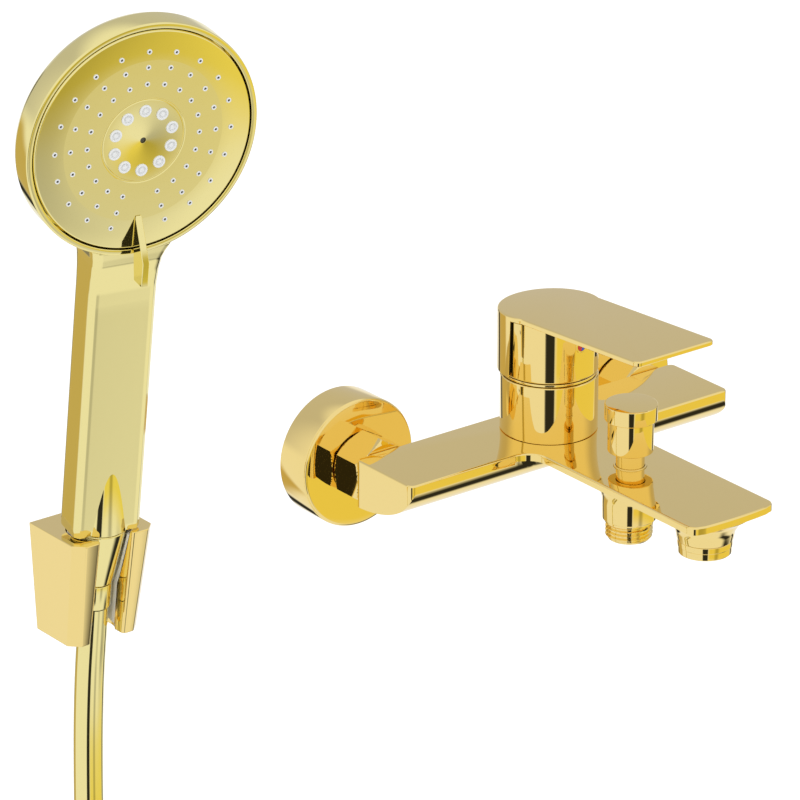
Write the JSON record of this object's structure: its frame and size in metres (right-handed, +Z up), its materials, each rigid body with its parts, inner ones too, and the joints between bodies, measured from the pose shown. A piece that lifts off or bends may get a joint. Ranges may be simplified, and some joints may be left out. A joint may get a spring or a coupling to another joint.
{
  "type": "wall mounted bath faucet",
  "caption": "Wall mounted bath and shower mixer with flat lever, pull diverter, aerator spout, and a hand shower with hose on a forked wall holder.",
  "frame": {"origin": "on the wall's face, half way between the two inlets", "axes": "+X along the wall, +Y into the wall, +Z up"},
  "size_m": [0.3771, 0.2086, 0.6628],
  "materials": {
    "polished_gold": "polished gold plating",
    "plated_plastic": "polished gold plating on plastic",
    "raw_brass": "machined",
    "steel": "plain",
    "white_plastic": "moulded",
    "nozzle_rubber": "soft matt",
    "black_rubber": "matt",
    "ceramic": "lapped"
  },
  "bodies": {
    "wall_fittings": {"mixer_body": "polished_gold", "rosette_left": "polished_gold", "rosette_right": "polished_gold", "s_union_left": "raw_brass", "s_union_right": "raw_brass", "union_nut_left": "polished_gold", "union_nut_right": "polished_gold", "filter_washer_left": "black_rubber", "filter_washer_right": "black_rubber", "cartridge_housing": "white_plastic", "cartridge_base_seal": "black_rubber", "ceramic_disc_fixed": "ceramic", "cartridge_nut": "raw_brass", "column_ring": "polished_gold", "diverter_bush": "polished_gold", "diverter_seat": "raw_brass", "shower_outlet_nipple": "polished_gold", "check_valve": "white_plastic", "aerator_housing": "polished_gold", "aerator_insert": "white_plastic", "aerator_seal": "black_rubber", "bracket_plate": "steel", "bracket_fork": "polished_gold", "bracket_liner": "white_plastic", "bracket_screw_upper": "steel", "bracket_screw_lower": "steel"},
    "temperature_turret": {"hub_cover": "polished_gold", "index_plug": "white_plastic", "cartridge_turret": "white_plastic", "spindle_pin": "steel"},
    "ceramic_slide": {"ceramic_disc_moving": "ceramic"},
    "lever": {"lever_handle": "polished_gold", "lever_spindle": "steel", "lever_grub_screw": "steel"},
    "diverter": {"diverter_knob_cap": "polished_gold", "diverter_knob_body": "polished_gold", "diverter_stem": "polished_gold", "diverter_spring": "steel", "diverter_piston": "raw_brass", "diverter_oring": "black_rubber"},
    "hose": {"hose_ferrule": "plated_plastic", "hose_tube": "plated_plastic", "hose_hank": "plated_plastic", "hank_tie": "black_rubber", "hose_end_nut": "plated_plastic", "hose_end_gasket": "black_rubber"},
    "handset": {"handset_shell": "plated_plastic", "head_water_plate": "white_plastic", "water_tube": "white_plastic", "thread_insert": "raw_brass", "cone_nut": "polished_gold", "cone_gasket": "black_rubber"},
    "selector": {"face_plate": "plated_plastic", "selector_tab": "plated_plastic", "nozzle_mat": "nozzle_rubber", "spray_disc": "white_plastic"}
  },
  "joints": [
    {"name": "lever_turn", "type": "hinge", "parent": "wall_fittings", "child": "temperature_turret", "pos_m": [0, -0.059, 0.0315], "axis": [0, 0, 1], "range_deg": [-45, 45]},
    {"name": "lever_lift", "type": "hinge", "parent": "temperature_turret", "child": "lever", "pos_m": [0, -0.059, 0.0315], "axis": [-1, 0, 0], "range_deg": [0, 20]},
    {"name": "disc_slide", "type": "slide", "parent": "temperature_turret", "child": "ceramic_slide", "axis": [0, -1, 0], "range_m": [0, 0.0042]},
    {"name": "diverter_pull", "type": "slide", "parent": "wall_fittings", "child": "diverter", "axis": [0, 0, 1], "range_m": [0, 0.008], "stiffness_N_per_m": 150, "springref_m": -0.004, "deforming": ["diverter_spring"]},
    {"name": "handset_lift", "type": "slide", "parent": "wall_fittings", "child": "hose", "axis": [0, -0.1392, 0.9903], "range_m": [0, 0.06]},
    {"name": "handset_turn", "type": "hinge", "parent": "hose", "child": "handset", "pos_m": [-0.218, -0.0227, 0.009], "axis": [0, -0.1392, 0.9903], "range_deg": [-40, 40]},
    {"name": "selector_turn", "type": "hinge", "parent": "handset", "child": "selector", "pos_m": [-0.218, -0.04942, 0.19913], "axis": [-0.1513, -0.9789, -0.1376], "range_deg": [-25, 25]}
  ],
  "couplings": [
    {"joint": "disc_slide", "follows": "lever_lift", "m_per_rad": 0.0115}
  ]
}
